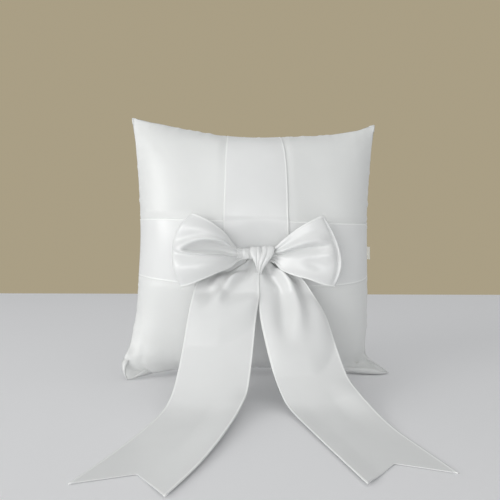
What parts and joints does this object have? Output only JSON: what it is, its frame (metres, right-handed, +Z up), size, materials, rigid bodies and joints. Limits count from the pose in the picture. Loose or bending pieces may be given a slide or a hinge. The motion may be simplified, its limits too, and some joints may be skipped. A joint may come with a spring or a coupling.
{
  "type": "ring bearer pillow",
  "caption": "Stuffed square satin pillow standing on one edge, crossed by two ribbon bands, with a ribbon bow and long swallow-tailed ends to tie wedding rings to.",
  "frame": {"origin": "middle of the lower edge that the pillow stands on, at the level of the table", "axes": "+Z up, -Y towards the side with the bow, where the tails run out over the table, +X to the right of a person facing the bow"},
  "size_m": [0.226, 0.2785, 0.216],
  "materials": {
    "satin_cover": "white bridal satin",
    "satin_ribbon": "white double-faced satin ribbon with woven edges",
    "fibre_fill": "loose white fibre",
    "sewing_thread": "white sewing thread",
    "label_tape": "plain woven tape"
  },
  "bodies": {
    "root": {"fibre_filling": "fibre_fill", "front_panel": "satin_cover", "back_panel": "satin_cover", "seam_stitches": "sewing_thread", "closing_stitches": "sewing_thread", "horizontal_band": "satin_ribbon", "vertical_band": "satin_ribbon", "bow_loop_left": "satin_ribbon", "bow_loop_right": "satin_ribbon", "bow_tail_left": "satin_ribbon", "bow_tail_right": "satin_ribbon", "knot_band": "satin_ribbon", "knot_wrap": "satin_ribbon", "bow_tack_stitches": "sewing_thread", "side_label": "label_tape"}
  },
  "joints": []
}
